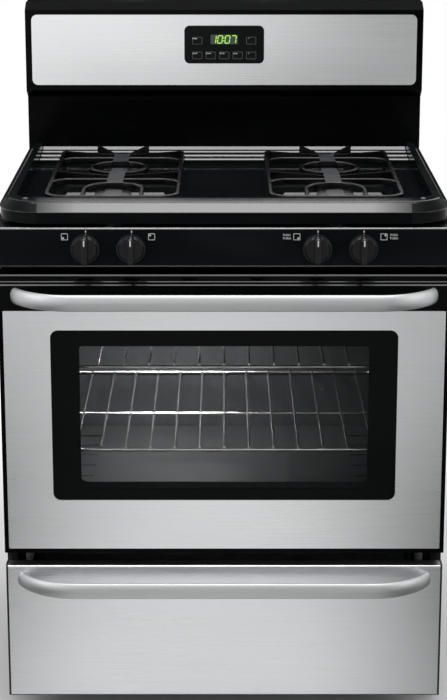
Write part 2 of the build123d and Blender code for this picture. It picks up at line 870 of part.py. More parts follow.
def make_knob(x):
    """A round skirt, a domed body and an upright grip, bored for the flat of its stem."""
    bore_front = stem_front - push_travel - 1.5
    with BuildPart() as knob:
        with BuildSketch(across(knob_back)):
            with Locations((x, knob_z)):
                Circle(knob_radius)
        extrude(amount=knob_skirt, taper=4)
        with BuildSketch(across(knob_back - knob_skirt)):
            with Locations((x, knob_z)):
                Circle(knob_radius - 2.5)
        extrude(amount=5.0, taper=30)
        with BuildSketch(across(knob_back)):
            with Locations((x, knob_z)):
                RectangleRounded(grip_width, 2 * knob_radius - 1.0, grip_width / 2 - 0.5)
        extrude(amount=knob_depth, taper=4)
        fillet(knob.faces().sort_by(Axis.Y)[0].edges(), 2.0)
        with BuildSketch(across(knob_back)):
            with Locations((x, knob_z)):
                Circle(stem_radius + running)
            with Locations((x, knob_z - 2 * stem_radius + stem_flat - running)):
                Rectangle(3 * stem_radius, 2 * stem_radius, mode=Mode.SUBTRACT)
        extrude(amount=knob_back - bore_front, mode=Mode.SUBTRACT)
        with BuildSketch(across(knob_back)):
            with Locations((x, knob_z)):
                Circle(stem_radius + running)
        extrude(amount=push_travel + 3.0, mode=Mode.SUBTRACT)
    return knob


for number, x in enumerate(knob_xs, 1):
    save(make_stem(x), f"valve_stem_{number}")
    save(make_knob(x), f"burner_knob_{number}")

# Door frame: a deep black tray, open to the oven, with a rebate for the outer glass
frame_front_y = behind(sheet)
glass_back = behind(sheet) + 2.0
door_wall = 1.5
toe_z = liner_bottom


def window_outline(grow, y):
    """A rounded window outline on an upright plane, grown by a margin."""
    with BuildSketch(across(y)) as outline:
        with Locations((0, (window_bottom + window_top) / 2)):
            RectangleRounded(
                2 * (window_half + grow),
                window_top - window_bottom + 2 * grow,
                max(window_corner + grow, 2.0),
            )
    return outline.sketch


def hinge_slots():
    """Slots through the lower rear of the door, where the body's hinge plates reach in."""
    for side in (-1, 1):
        slab(
            (side * hinge_x - hinge_plate / 2 - 2.0, side * hinge_x + hinge_plate / 2 + 2.0),
            (behind(hinge_setback) - 12.0, behind(body_setback)),
            (door_bottom - 1.0, liner_bottom + 6.0),
            Mode.SUBTRACT,
        )


def vent_slots(y, reach):
    """The row of cooling slots through the top of the door."""
    with Locations(*[(x, y, vent_z) for x in vent_xs]):
        Box(vent_width, reach, vent_height, mode=Mode.SUBTRACT)


with BuildPart() as door_frame:
    with BuildSketch(Plane.YZ):
        with BuildLine():
            Polyline(
                (frame_front_y, door_bottom),
                (behind(liner_toe), door_bottom),
                (behind(door_back), toe_z),
                (behind(door_back), door_top),
                (frame_front_y, door_top),
                close=True,
            )
        make_face()
    extrude(amount=door_half, both=True)
    fillet(door_frame.faces().sort_by(Axis.Y)[0].edges().filter_by(Axis.Z), 1.0)
    with BuildSketch(Plane.YZ):
        with BuildLine():
            Polyline(
                (glass_back, door_bottom + door_wall),
                (behind(body_setback), door_bottom + door_wall),
                (behind(body_setback), door_top - door_wall),
                (glass_back, door_top - door_wall),
                close=True,
            )
        make_face()
    extrude(amount=door_half - door_wall, both=True, mode=Mode.SUBTRACT)
    slab(
        (-window_half - 14.0, window_half + 14.0),
        (glass_back, glass_back + door_wall),
        (window_bottom - 14.0, window_top + 14.0),
    )
    extrude(window_outline(seat, behind(0)), amount=-(glass_back - front), mode=Mode.SUBTRACT)
    extrude(window_outline(-rebate, behind(0)), amount=-body_setback, mode=Mode.SUBTRACT)
    hinge_slots()
    vent_slots(frame_front_y, 8.0)
save(door_frame, "door_frame")

# Door skin: a stainless sheet with folded edges and the window's cut-out
with BuildPart() as door_skin:
    slab((-skin_half, skin_half), (front, frame_front_y), (skin_bottom, skin_top))
    fillet(door_skin.edges().filter_by(Axis.Y), 2.0)
    fillet(door_skin.faces().sort_by(Axis.Y)[0].edges(), 0.6)
    extrude(window_outline(seat, behind(-1.0)), amount=-(sheet + 2.0), mode=Mode.SUBTRACT)
save(door_skin, "door_skin")

# Door top trim: a vented black extrusion that carries the handle
trim_face = front - trim_depth
trim_bottom = skin_top + seat
trim_step = door_top - 16.5
with BuildPart() as door_top_trim:
    with BuildSketch(Plane.YZ):
        with BuildLine():
            Polyline(
                (frame_front_y, trim_bottom),
                (front - 1.0, trim_bottom),
                (trim_face, trim_bottom + 3.0),
                (trim_face, trim_step - 1.5),
                (front - 1.0, trim_step),
                (front - 1.0, trim_step + 4.0),
                (front + 0.2, trim_step + 5.0),
                (front + 0.2, door_top - 2.0),
                (frame_front_y, door_top),
                close=True,
            )
        make_face()
    extrude(amount=door_half, both=True)
    vent_slots(front, 8.0)
save(door_top_trim, "door_top_trim")

# Outer window glass, flush with the skin
with BuildPart() as door_glass_outer:
    extrude(window_outline(0, behind(0.2)), amount=-(glass - 0.2))
save(door_glass_outer, "door_glass_outer")

# Door liner: the inner panel, with a raised plug round the inner window and a sloped toe
liner_front = behind(door_back) + 0.2
liner_half = door_half - 1.0
plug_half = cavity_half - 22.0
plug_bottom = cavity_bottom + 30.0
plug_top = cavity_top - 16.0
with BuildPart() as door_liner:
    slab((-liner_half, liner_half), (liner_front, liner_front + door_wall), (liner_bottom, door_top - 1.0))
    with BuildSketch(across(liner_front + door_wall)):
        with Locations((0, (plug_bottom + plug_top) / 2)):
            RectangleRounded(2 * plug_half, plug_top - plug_bottom, 22.0)
    extrude(amount=-plug_height, taper=20)
    with BuildSketch(across(liner_front)):
        with Locations((0, (plug_bottom + plug_top) / 2)):
            RectangleRounded(2 * plug_half - 6.0, plug_top - plug_bottom - 6.0, 20.0)
    extrude(amount=-plug_height, mode=Mode.SUBTRACT)
    with BuildSketch(across(liner_front)):
        with Locations((0, (clear_bottom + clear_top) / 2)):
            RectangleRounded(2 * clear_half, clear_top - clear_bottom, 16.0)
    extrude(amount=-3 * plug_height, mode=Mode.SUBTRACT)
    with BuildSketch(Plane.YZ):
        with BuildLine():
            Polyline(
                (liner_front, liner_bottom),
                (liner_front + door_wall, liner_bottom),
                (behind(liner_toe) + 0.2 + door_wall, door_bottom),
                (behind(liner_toe) + 0.2, door_bottom),
                close=True,
            )
        make_face()
    extrude(amount=liner_half, both=True)
    hinge_slots()
save(door_liner, "door_liner")

# Inner window glass, held in the liner's plug
inner_glass_half = clear_half + 12.0
with BuildPart() as door_glass_inner:
    with BuildSketch(across(liner_front + plug_height - 0.2)):
        with Locations((0, (clear_bottom + clear_top) / 2)):
            RectangleRounded(2 * inner_glass_half, clear_top - clear_bottom + 24.0, 10.0)
    extrude(amount=glass)
save(door_glass_inner, "door_glass_inner")

# Door gasket: a soft cord round the top and sides of the liner
gasket_radius = 4.9
gasket_x = cavity_half + 14.0
gasket_low = liner_bottom + 14.0
gasket_top_z = cavity_top + 14.0
gasket_y = liner_front + door_wall + 0.2 + gasket_radius
with BuildPart() as door_gasket:
    with BuildLine() as gasket_run:
        FilletPolyline(
            (-gasket_x, gasket_y, gasket_low),
            (-gasket_x, gasket_y, gasket_top_z),
            (gasket_x, gasket_y, gasket_top_z),
            (gasket_x, gasket_y, gasket_low),
            radius=24.0,
        )
    with BuildSketch(Plane(origin=gasket_run.line @ 0, z_dir=gasket_run.line % 0)):
        Circle(gasket_radius)
    sweep()
save(door_gasket, "door_gasket")


def make_handle(seat_y, reach, z):
    """A bowed oval bar: straight in the middle, curving back to the face at both ends."""
    line_y = front - reach + handle_thick / 2
    run_back = seat_y - line_y
    run_side = handle_end - handle_straight
    turn = 2 * degrees(atan(run_back / run_side))
    bend = run_side / sin(radians(turn))
    with BuildPart() as handle:
        with BuildLine() as bar_run:
            Line((0, line_y, z), (handle_straight, line_y, z))
            JernArc((handle_straight, line_y, z), (1, 0, 0), bend, turn)
            Line(bar_run.line @ 1, bar_run.line @ 1 + 10.0 * (bar_run.line % 1))
        with BuildSketch(Plane(origin=(0, line_y, z), x_dir=(0, 1, 0), z_dir=(1, 0, 0))):
            Ellipse(handle_thick / 2, handle_height / 2)
        sweep()
        mirror(about=Plane.YZ)
        split(bisect_by=across(seat_y), keep=Keep.TOP)
    return handle


save(make_handle(trim_face, handle_reach, door_handle_z), "door_handle")

# Hinge arms: two cheeks and a web at each side of the door, bored for the pins
arm_top = hinge_z + 98.0
cheek_gap = hinge_plate / 2 + 0.5
with BuildPart() as door_hinge_arms:
    for side in (-1, 1):
        centre = side * hinge_x
        for cheek in (-1, 1):
            inner_x = centre + cheek * cheek_gap
            x_pair = sorted((inner_x, inner_x + cheek * hinge_cheek))
            slab(x_pair, (glass_back, behind(liner_toe) - 1.0), (door_bottom + door_wall + 0.5, arm_top))
        slab(
            (centre - cheek_gap - hinge_cheek, centre + cheek_gap + hinge_cheek),
            (glass_back, glass_back + 3.0),
            (door_bottom + door_wall + 0.5, arm_top),
        )
        with Locations((centre, behind(hinge_setback), hinge_z)):
            Cylinder(
                hinge_pin + running, 4 * (cheek_gap + hinge_cheek), rotation=(0, 90, 0), mode=Mode.SUBTRACT
            )
save(door_hinge_arms, "door_hinge_arms")

# Hinge brackets: body plates that reach into the door, each with its pin
bracket_base = body_front + cavity_wall
with BuildPart() as hinge_brackets:
    for side in (-1, 1):
        centre = side * hinge_x
        slab(
            (centre - hinge_plate / 2, centre + hinge_plate / 2),
            (behind(hinge_setback), bracket_base + 3.0),
            (hinge_z - 9.0, hinge_z + 9.0),
        )
        with Locations((centre, behind(hinge_setback), hinge_z)):
            Cylinder(9.0, hinge_plate, rotation=(0, 90, 0))
            Cylinder(hinge_pin, 2 * (cheek_gap + hinge_cheek), rotation=(0, 90, 0))
        slab(
            (centre - 9.0, centre + 9.0),
            (bracket_base, bracket_base + 3.0),
            (hinge_z - 17.0, hinge_z + 22.0),
        )
save(hinge_brackets, "hinge_brackets")

# Drawer front: a stainless pan with rounded edges
with BuildPart() as drawer_front:
    slab((-drawer_half, drawer_half), (front, behind(drawer_front_depth)), (drawer_bottom, drawer_top))
    fillet(drawer_front.faces().sort_by(Axis.Y)[0].edges(), 3.0)
    slab(
        (-drawer_half + sheet, drawer_half - sheet),
        (front + 3.5, behind(drawer_front_depth) + 1.0),
        (drawer_bottom + sheet, drawer_top - sheet),
        Mode.SUBTRACT,
    )
save(drawer_front, "drawer_front")
save(make_handle(front, handle_reach, drawer_handle_z), "drawer_handle")

# Drawer box: an open tray whose side lips ride on the rails; its front wall closes the pan
box_front = front + 3.5 + seat
box_rear = box_front + box_depth
with BuildPart() as drawer_box:
    slab((-box_half, box_half), (box_front, box_rear), (box_bottom, box_top))
    slab(
        (-box_half + sheet, box_half - sheet),
        (behind(drawer_front_depth) + sheet, box_rear - sheet),
        (box_bottom + sheet, box_top + 1.0),
        Mode.SUBTRACT,
    )
    slab(
        (-box_half + sheet, box_half - sheet),
        (box_front + sheet, behind(drawer_front_depth)),
        (box_bottom - 1.0, box_top - sheet),
        Mode.SUBTRACT,
    )
    for side in (-1, 1):
        x_pair = sorted((side * (box_half - sheet), side * (box_half + box_lip)))
        slab(x_pair, (body_front + 6.0, box_rear), (box_top - sheet, box_top))
save(drawer_box, "drawer_box")

# Drawer rails: an angle at each side, hung on the front post and the side panel's rear flange
rail_outer = inner_half - post_width - seat
rail_top = box_top - sheet - seat
with BuildPart() as drawer_rails:
    slab((box_half + 2.0, rail_outer), (frame_front, frame_rear - 3.0), (rail_top - 1.5, rail_top))
    slab((rail_outer - 1.5, rail_outer), (frame_front, frame_rear - 3.0), (rail_top - 26.0, rail_top))
    slab((rail_outer - 1.5, inner_half), (frame_rear - 4.5, frame_rear - 3.0), (rail_top - 26.0, rail_top))
    mirror(about=Plane.YZ)
save(drawer_rails, "drawer_rails")

# Backguard shell: a folded housing with a recessed splash and a console that stands forward
splash_y = behind(splash_setback)
console_y = behind(console_setback)
guard_rear = rear - sheet
with BuildSketch() as guard_profile:
    with BuildLine():
        Polyline(
            (splash_y, ledge_top + seat),
            (splash_y, console_bottom - 12.0),
            (console_y + 4.0, console_bottom),
            (console_y, console_bottom + 4.0),
            (console_y, guard_crease),
            (console_y + guard_slope, height),
            (guard_rear, height),
            (guard_rear, ledge_top + seat),
            close=True,
        )
    make_face()
with BuildSketch() as guard_hollow:
    add(guard_profile.sketch)
    offset(amount=-guard_sheet, kind=Kind.INTERSECTION, mode=Mode.REPLACE)
with BuildPart() as backguard_shell:
    extrude(Plane.YZ * guard_profile.sketch, amount=guard_half, both=True)
    extrude(Plane.YZ * guard_hollow.sketch, amount=guard_half - guard_sheet, both=True, mode=Mode.SUBTRACT)
    slab(
        (-guard_half + guard_sheet, guard_half - guard_sheet),
        (splash_y + guard_sheet, guard_rear + 1.0),
        (ledge_top, height - guard_sheet),
        Mode.SUBTRACT,
    )
    with Locations((0, console_y, clock_z)):
        Box(clock_hole[0], 8 * guard_sheet, clock_hole[1], mode=Mode.SUBTRACT)
save(backguard_shell, "backguard_shell")

# Backguard front panel: a stainless plate with rounded corners and the clock's cut-out
plate_front = console_y - 1.0
with BuildPart() as backguard_panel:
    with BuildSketch(across(console_y)):
        with Locations((0, (plate_bottom + plate_top) / 2)):
            RectangleRounded(2 * plate_half, plate_top - plate_bottom, plate_corner)
        with Locations((0, clock_z)):
            Rectangle(*clock_hole, mode=Mode.SUBTRACT)
    extrude(amount=console_y - plate_front)
save(backguard_panel, "backguard_panel")

# Backguard rear cover: a flat sheet with vent slots
with BuildPart() as backguard_rear_cover:
    slab((-guard_half, guard_half), (guard_rear, rear), (ledge_top + seat, height))
    with BuildSketch(across(rear + 1.0)):
        with Locations((0, height - 70.0)):
            with GridLocations(70.0, 24.0, 9, 3):
                SlotOverall(48.0, 8.0)
    extrude(amount=-4 * sheet, both=True, mode=Mode.SUBTRACT)
save(backguard_rear_cover, "backguard_rear_cover")

# Clock bezel: a rounded plate with a display window, key openings and four board posts
board_front = console_y + 8.0
post_places = [(x, clock_z + z) for x in (-66.5, 66.5) for z in (-26.0, 26.0)]
with BuildPart() as clock_bezel:
    with BuildSketch(across(plate_front)):
        with Locations((0, clock_z)):
            RectangleRounded(bezel_width, bezel_height, bezel_corner)
    extrude(amount=bezel_thick)
    fillet(clock_bezel.faces().sort_by(Axis.Y)[0].edges(), 1.0)
    with BuildSketch(across(plate_front)):
        with Locations((0, display_z)):
            Rectangle(*display_size)
        with Locations(*[(x, clock_z + z) for x, z in key_places]):
            Rectangle(key_size[0] + 2 * key_gap, key_size[1] + 2 * key_gap)
    extrude(amount=2 * bezel_thick, mode=Mode.SUBTRACT)
    with BuildSketch(across(board_front)):
        with Locations(*post_places):
            Circle(2.5)
    extrude(amount=board_front - plate_front)
save(clock_bezel, "clock_bezel")

# Clock display: a lens in the window with its module behind it
with BuildPart() as clock_display:
    with BuildSketch(across(plate_front)):
        with Locations((0, display_z)):
            Rectangle(display_size[0] - 2 * seat, display_size[1] - 2 * seat)
    extrude(amount=bezel_thick - 0.6)
    with BuildSketch(across(plate_front + 0.2)):
        with Locations((0, display_z)):
            Rectangle(display_size[0] + 6.0, display_size[1] + 5.0)
    extrude(amount=-(board_front - plate_front - 0.2))
    slab(
        (-display_size[0] / 2 + seat, display_size[0] / 2 - seat),
        (plate_front, plate_front + 0.2),
        (display_z - display_size[1] / 2 + seat, display_z + display_size[1] / 2 - seat),
    )
save(clock_display, "clock_display")

# Control board: the circuit board on the bezel's posts, with its relay and transformer
board_back = board_front + 1.6
with BuildPart() as control_board:
    with BuildSketch(across(board_front)):
        with Locations((0, clock_z)):
            Rectangle(bezel_width - 12.0, bezel_height - 8.0)
    extrude(amount=-1.6)
    with BuildSketch(across(board_back)):
        with Locations((-42.0, clock_z + 4.0)):
            RectangleRounded(30.0, 34.0, 2.0)
        with Locations((30.0, clock_z - 6.0)):
            with GridLocations(24.0, 0, 2, 1):
                Rectangle(18.0, 26.0)
    extrude(amount=-20.0)
save(control_board, "control_board")


def make_key(x, z):
    """A flat key with a flange behind the bezel and a plunger that points at its switch."""
    with BuildPart() as key:
        with BuildSketch(across(plate_front + 0.3)):
            with Locations((x, clock_z + z)):
                RectangleRounded(*key_size, 1.5)
        extrude(amount=bezel_thick + 0.3)
        with BuildSketch(across(plate_front + 0.3)):
            with Locations((x, clock_z + z)):
                Rectangle(key_size[0] + 2 * key_flange, key_size[1] + 2 * key_flange)
        extrude(amount=-1.2)
        with BuildSketch(across(plate_front + 1.5)):
            with Locations((x, clock_z + z)):
                Circle(2.0)
        extrude(amount=-(board_front - plate_front - 1.5 - key_travel - 0.3))
    return key


for number, (x, z) in enumerate(key_places, 1):
    save(make_key(x, z), f"clock_key_{number}")


def make_rack(ledge):
    """A wire rack: a bent outer frame, three cross wires and a row of thin wires."""
    level = ledge + travel_gap + rack_wire
    start = body_front + rack_front_gap
    end = start + rack_depth
    side_x = rack_half - rack_wire
    corner = 16.0
    with BuildPart() as rack:
        with BuildLine() as outline:
            FilletPolyline(
                (0, start, level),
                (side_x, start, level),
                (side_x, end, level),
                (0, end, level),
                radius=corner,
            )
        with BuildSketch(Plane(origin=outline.line @ 0, z_dir=outline.line % 0)):
            Circle(rack_wire)
        sweep()
        mirror(about=Plane.YZ)
        with BuildSketch(Plane.YZ.offset(-side_x)):
            with Locations((start + rack_depth * 0.44, level)):
                Circle(cross_wire)
        extrude(amount=2 * side_x)
        with BuildSketch(across(start)):
            with Locations((0, level + rack_wire + thin_wire * 0.6)):
                with GridLocations(rack_bar_pitch, 0, rack_bars, 1):
                    Circle(thin_wire)
        extrude(amount=-rack_depth)
    return rack


save(make_rack(ledges[1]), "oven_rack_lower")
save(make_rack(ledges[3]), "oven_rack_upper")
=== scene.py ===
# %% [markdown]
# A freestanding gas range: black enamel and brushed stainless steel, two cast grates over four burners, a
# windowed oven door that drops open and a storage drawer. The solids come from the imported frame, already
# at their true size and place, so this file gives them their finishes and adds the small printed and
# fastened details.

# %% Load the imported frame
import math

import bpy
from mathutils import Matrix, Vector


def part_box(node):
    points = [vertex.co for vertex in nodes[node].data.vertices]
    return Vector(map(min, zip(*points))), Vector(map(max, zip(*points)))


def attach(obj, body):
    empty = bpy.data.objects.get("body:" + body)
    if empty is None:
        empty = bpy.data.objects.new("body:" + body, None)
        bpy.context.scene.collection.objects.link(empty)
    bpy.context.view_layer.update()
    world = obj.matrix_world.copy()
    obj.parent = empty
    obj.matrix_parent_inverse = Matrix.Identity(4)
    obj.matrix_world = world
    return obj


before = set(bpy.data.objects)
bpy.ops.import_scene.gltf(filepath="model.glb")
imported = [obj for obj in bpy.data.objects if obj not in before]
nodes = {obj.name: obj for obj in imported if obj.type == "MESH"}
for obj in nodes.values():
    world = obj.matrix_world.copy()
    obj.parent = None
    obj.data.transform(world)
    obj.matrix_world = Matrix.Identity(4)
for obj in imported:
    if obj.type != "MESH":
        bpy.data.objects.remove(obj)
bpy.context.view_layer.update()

# %% [markdown]
# The camera comes first, because every later choice is judged through it. The range is seen from straight
# ahead and a little above, through a long lens. A downward shift keeps the uprights nearly parallel, as a
# product photographer does with a shift lens.

# %% Camera
FRAME_LONG = 700
FOCAL_PIXELS = 1843.0
SENSOR_WIDTH = 36.0
LENS_SHIFT = (-0.001, -0.2)
CAMERA_PLACE = (0.0, -3.2595, 1.579)
CAMERA_PITCH = math.radians(12.87)
camera_data = bpy.data.cameras.new("front_camera")
camera_data.sensor_width = SENSOR_WIDTH
camera_data.lens = FOCAL_PIXELS * SENSOR_WIDTH / FRAME_LONG
camera_data.shift_x, camera_data.shift_y = LENS_SHIFT
camera = bpy.data.objects.new("front_camera", camera_data)
camera.location = CAMERA_PLACE
camera.rotation_euler = (math.pi / 2 - CAMERA_PITCH, 0.0, 0.0)
bpy.context.scene.collection.objects.link(camera)
bpy.context.scene.camera = camera
bpy.context.scene.view_settings.view_transform = "Standard"
print("lens", round(camera_data.lens, 1))

# %% [markdown]
# Finishes are written as sums in Python. `Wire` wraps a shader socket, so that `1 - mask` adds the Math
# node that works it out, and `Paint` owns one node tree and adds every other node through one method.


# %% Shader helpers
class Wire:
    """A shader socket that takes part in Python expressions."""

    def __init__(self, paint, socket):
        self.paint = paint
        self.socket = socket

    def math(self, operation, other=0.0, turned=False):
        pair = {0: other, 1: self} if turned else {0: self, 1: other}
        return self.paint.node("ShaderNodeMath", {"operation": operation}, pair)

    def __add__(self, other):
        return self.math("ADD", other)

    def __sub__(self, other):
        return self.math("SUBTRACT", other)

    def __rsub__(self, other):
        return self.math("SUBTRACT", other, turned=True)

    def __mul__(self, other):
        return self.math("MULTIPLY", other)

    def __truediv__(self, other):
        return self.math("DIVIDE", other)

    def __gt__(self, other):
        return self.math("GREATER_THAN", other)

    def __lt__(self, other):
        return self.math("LESS_THAN", other)

    def __abs__(self):
        return self.math("ABSOLUTE")

    __radd__ = __add__
    __rmul__ = __mul__

    def beside(self, out):
        """Another output of the same node."""
        return Wire(self.paint, self.socket.node.outputs[out])


class Paint:
    """One node tree, with its nodes added by type, settings and sockets."""

    def __init__(self, tree):
        self.tree = tree
        tree.nodes.clear()

    def node(self, kind, settings=None, sockets=None, out=0):
        made = self.tree.nodes.new(kind)
        for key, value in (settings or {}).items():
            if key == "stops":
                points = made.color_ramp.elements
                while len(points) < len(value):
                    points.new(1.0)
                for point, (place, grey) in zip(points, value):
                    point.position = place
                    point.color = (grey, grey, grey, 1.0)
            else:
                setattr(made, key, value)
        for key, value in (sockets or {}).items():
            if isinstance(value, Wire):
                self.tree.links.new(value.socket, made.inputs[key])
            else:
                made.inputs[key].default_value = value
        return Wire(self, made.outputs[out]) if len(made.outputs) else None

    def place(self):
        return self.node("ShaderNodeTexCoord", out="Object")

    def axes(self):
        x = self.node("ShaderNodeSeparateXYZ", None, {0: self.place()})
        return x, x.beside(1), x.beside(2)

    def noise(self, scale, stretch=(1.0, 1.0, 1.0), detail=3.0):
        spot = self.node("ShaderNodeMapping", None, {"Vector": self.place(), "Scale": stretch})
        return self.node("ShaderNodeTexNoise", None, {"Vector": spot, "Scale": scale, "Detail": detail})

    def ramp(self, value, *stops):
        return self.node("ShaderNodeValToRGB", {"stops": stops}, {"Fac": value})

    def mix(self, mask, first, second):
        return self.node("ShaderNodeMix", {"data_type": "RGBA"}, {0: mask, 6: first, 7: second}, out=2)

    def bump(self, height, strength, distance=0.0005):
        sockets = {"Height": height, "Strength": strength, "Distance": distance}
        return self.node("ShaderNodeBump", None, sockets)

    def upward(self, low, high):
        """How far the surface faces up, as 0 at low and 1 at high."""
        normal = self.node("ShaderNodeNewGeometry", out="Normal")
        lift = self.node("ShaderNodeSeparateXYZ", None, {0: normal}).beside(2)
        return self.node("ShaderNodeMapRange", None, {0: lift, 1: low, 2: high})

    def surface(self, sockets):
        shader = self.node("ShaderNodeBsdfPrincipled", None, sockets)
        self.node("ShaderNodeOutputMaterial", None, {"Surface": shader})


def new_paint(name):
    material = bpy.data.materials.new(name)
    material.use_nodes = True
    return material, Paint(material.node_tree)


def tone(red, green=None, blue=None):
    return (red, red if green is None else green, red if blue is None else blue, 1.0)


def coat(material, *names):
    for name in names:
        for slot in nodes[name].material_slots:
            slot.material = material
    print(material.name, "on", len(names), "solids")


# %% [markdown]
# Brushed stainless steel covers the door, the drawer, the backguard panel and both handles. The grain
# runs across the width, so the noise is stretched along X: it tilts the surface a little up and down,
# which smears reflections upright, as real brushing does. A broad, faint cloud breaks up the sheet.

# %% Brushed stainless steel
def brushed_steel(name, light, dark, roughness, rim=None):
    """Steel brushed across its width, painted black past a rim: a half width and a low edge."""
    material, paint = new_paint(name)
    grain = paint.noise(1.0, (3.0, 900.0, 900.0), 4.0)
    hair = paint.noise(1.0, (9.0, 2600.0, 2600.0), 2.0)
    cloud = paint.noise(3.0, (1.0, 1.0, 1.6), 2.0)
    streak = grain * 0.6 + hair * 0.4
    colour = paint.mix(paint.ramp(streak, (0.35, 0.0), (0.65, 1.0)), tone(*dark), tone(*light))
    sockets = {
        "Base Color": colour,
        "Metallic": 1.0,
        "Roughness": roughness + (streak - 0.5) * 0.22 + (cloud - 0.5) * 0.06,
        "Normal": paint.bump(streak, 0.07, 0.0003),
    }
    if rim:
        half_width, low_edge = rim
        x, _, z = paint.axes()
        painted = (abs(x) > half_width).math("MAXIMUM", z < low_edge)
        sockets["Base Color"] = paint.mix(painted, colour, tone(0.003))
        sockets["Metallic"] = 1.0 - painted
    paint.surface(sockets)
    return material


SHEET_FINISH = ((0.80, 0.808, 0.816), (0.738, 0.745, 0.752), 0.3)
HANDLE_FINISH = ((0.525, 0.53, 0.535), (0.465, 0.47, 0.475), 0.5)
DRAWER_RIM = (0.3722, 0.0346)
sheet_steel = brushed_steel("brushed_stainless", *SHEET_FINISH)
handle_steel = brushed_steel("handle_stainless", *HANDLE_FINISH)
coat(sheet_steel, "door_skin", "backguard_panel")
drawer_steel = brushed_steel("drawer_stainless", *SHEET_FINISH, DRAWER_RIM)
coat(drawer_steel, "drawer_front")
coat(handle_steel, "door_handle", "drawer_handle")

# %% [markdown]
# The body is porcelain enamel, fired on steel: nearly black, very glossy, with the faint orange-peel of
# fired glass and a few wiping smears that only show in the gloss. The oven's enamel is dark grey and
# carries fine pale flecks.


# %% Porcelain enamel
def enamel(name, colour, roughness, gloss, peel, fleck=0.0, shiny=(), glass=1.5):
    """Fired glass on steel. In the boxes of shiny, limits by axis, the glaze is thick and mirrors most."""
    material, paint = new_paint(name)
    axes = paint.axes()
    wiped = paint.ramp(paint.noise(5.0, (1.0, 1.0, 3.0), 3.0), (0.45, 0.0), (0.75, 1.0))
    skin = paint.noise(160.0, detail=1.0)
    base = paint.mix(wiped, tone(*colour), tone(*[part * 1.4 for part in colour]))
    if fleck:
        spots = paint.node("ShaderNodeTexVoronoi", None, {"Vector": paint.place(), "Scale": 420.0})
        flecks = (spots < 0.16) * (paint.noise(90.0) > 0.52)
        base = paint.mix(flecks * fleck, base, tone(0.55, 0.57, 0.6))
    sockets = {
        "Base Color": base,
        "Roughness": roughness + wiped * 0.07,
        "Specular IOR Level": gloss,
        "Normal": paint.bump(skin, peel, 0.0003),
    }
    glaze = None
    for weight, box in shiny:
        inside = weight
        for axis, (low, high, *soft) in box.items():
            along = axes["xyz".index(axis)]
            if soft:
                inward = ((high - low) / 2 - abs(along - (low + high) / 2)) / soft[0]
                between = inward.math("MAXIMUM", 0.0).math("MINIMUM", 1.0)
            else:
                between = (along > low) * (along < high)
            inside = between * inside
        glaze = inside if glaze is None else glaze.math("MAXIMUM", inside)
    if glaze is not None:
        sockets["Coat Weight"] = glaze
        sockets["Coat Roughness"] = 0.18
        sockets["Coat IOR"] = glass
    paint.surface(sockets)
    return material


lip = {"x": (-0.335, 0.335, 0.09), "y": (-0.32, -0.262), "z": (0.8975, 0.92)}
crease = {"y": (-0.32, -0.2), "z": (0.8972, 0.8990)}
ledge = {"x": (-0.349, 0.349), "y": (0.15, 0.30), "z": (0.8942, 0.92)}
ribs = {"y": (-0.125, -0.09), "z": (0.8868, 0.8915)}
top_enamel = enamel("cooktop_porcelain", (0.0042, 0.0047, 0.005), 0.08, 0.05, 0.012,
                    shiny=[(1.0, lip), (0.7, crease), (1.0, ledge), (1.0, ribs)])
panel_edges = [(0.6, {"z": (0.80, 0.8085)}), (1.0, {"z": (0.8698, 0.88)})]
panel_enamel = enamel("panel_porcelain", (0.005, 0.0062, 0.0068), 0.1, 0.05, 0.012,
                      shiny=panel_edges, glass=2.4)
trim_edges = [
    (1.0, {"z": (0.791, 0.80)}),
    (0.12, {"z": (0.7802, 0.7825)}),
    (0.12, {"z": (0.7745, 0.7775)}),
]
trim_enamel = enamel("trim_porcelain", (0.0025, 0.0028, 0.003), 0.1, 0.05, 0.012,
                     shiny=trim_edges, glass=2.2)
black_enamel_and_gap_shade = enamel("black_porcelain_and_gap_shade", (0.0016, 0.0018, 0.002), 0.1, 0.03, 0.012)
side_enamel = enamel("side_porcelain", (0.008, 0.008, 0.0085), 0.24, 0.4, 0.10, fleck=0.02)
oven_enamel = enamel("oven_porcelain", (0.036, 0.037, 0.038), 0.3, 0.5, 0.02, fleck=0.25)
coat(top_enamel, "cooktop")
coat(panel_enamel, "control_panel")
coat(trim_enamel, "door_top_trim")
# The hinge brackets and drawer rails take the black enamel as painted shade, so that the gap between door
# and drawer reads dark; the other parts here are black enamel.
coat(black_enamel_and_gap_shade, "backguard_shell", "door_frame", "base_frame", "hinge_brackets", "drawer_rails")
coat(side_enamel, "side_panels")
coat(oven_enamel, "oven_cavity", "oven_floor", "door_liner")

# %% [markdown]
# Hidden steelwork is hot-dip galvanised: zinc freezes in flat crystals, each with its own brightness,
# which a Voronoi texture gives directly. The racks are drawn wire with bright plating.

# %% Zinc, plated wire, cast aluminium and brass
zinc, paint = new_paint("galvanised_sheet")
crystal = paint.node("ShaderNodeTexVoronoi", None, {"Vector": paint.place(), "Scale": 70.0}, out="Color")
bright = paint.node("ShaderNodeSeparateColor", None, {0: crystal})
paint.surface({
    "Base Color": paint.mix(bright, tone(0.42, 0.43, 0.445), tone(0.54, 0.55, 0.56)),
    "Metallic": 0.9,
    "Roughness": 0.36 + bright * 0.16,
})
coat(zinc, "rear_panel", "backguard_rear_cover", "drawer_box",
     "door_hinge_arms", "gas_manifold", "oven_burner")


def cast_metal(name, colour, roughness, grain_scale, strength):
    material, paint = new_paint(name)
    sand = paint.noise(grain_scale, detail=4.0)
    stain = paint.noise(22.0, detail=3.0)
    dull = tuple(0.72 * part for part in colour)
    paint.surface({
        "Base Color": paint.mix(paint.ramp(stain, (0.4, 0.0), (0.7, 1.0)), tone(*colour), tone(*dull)),
        "Metallic": 1.0,
        "Roughness": roughness + (sand - 0.5) * 0.2,
        "Normal": paint.bump(sand, strength, 0.0004),
    })
    return material


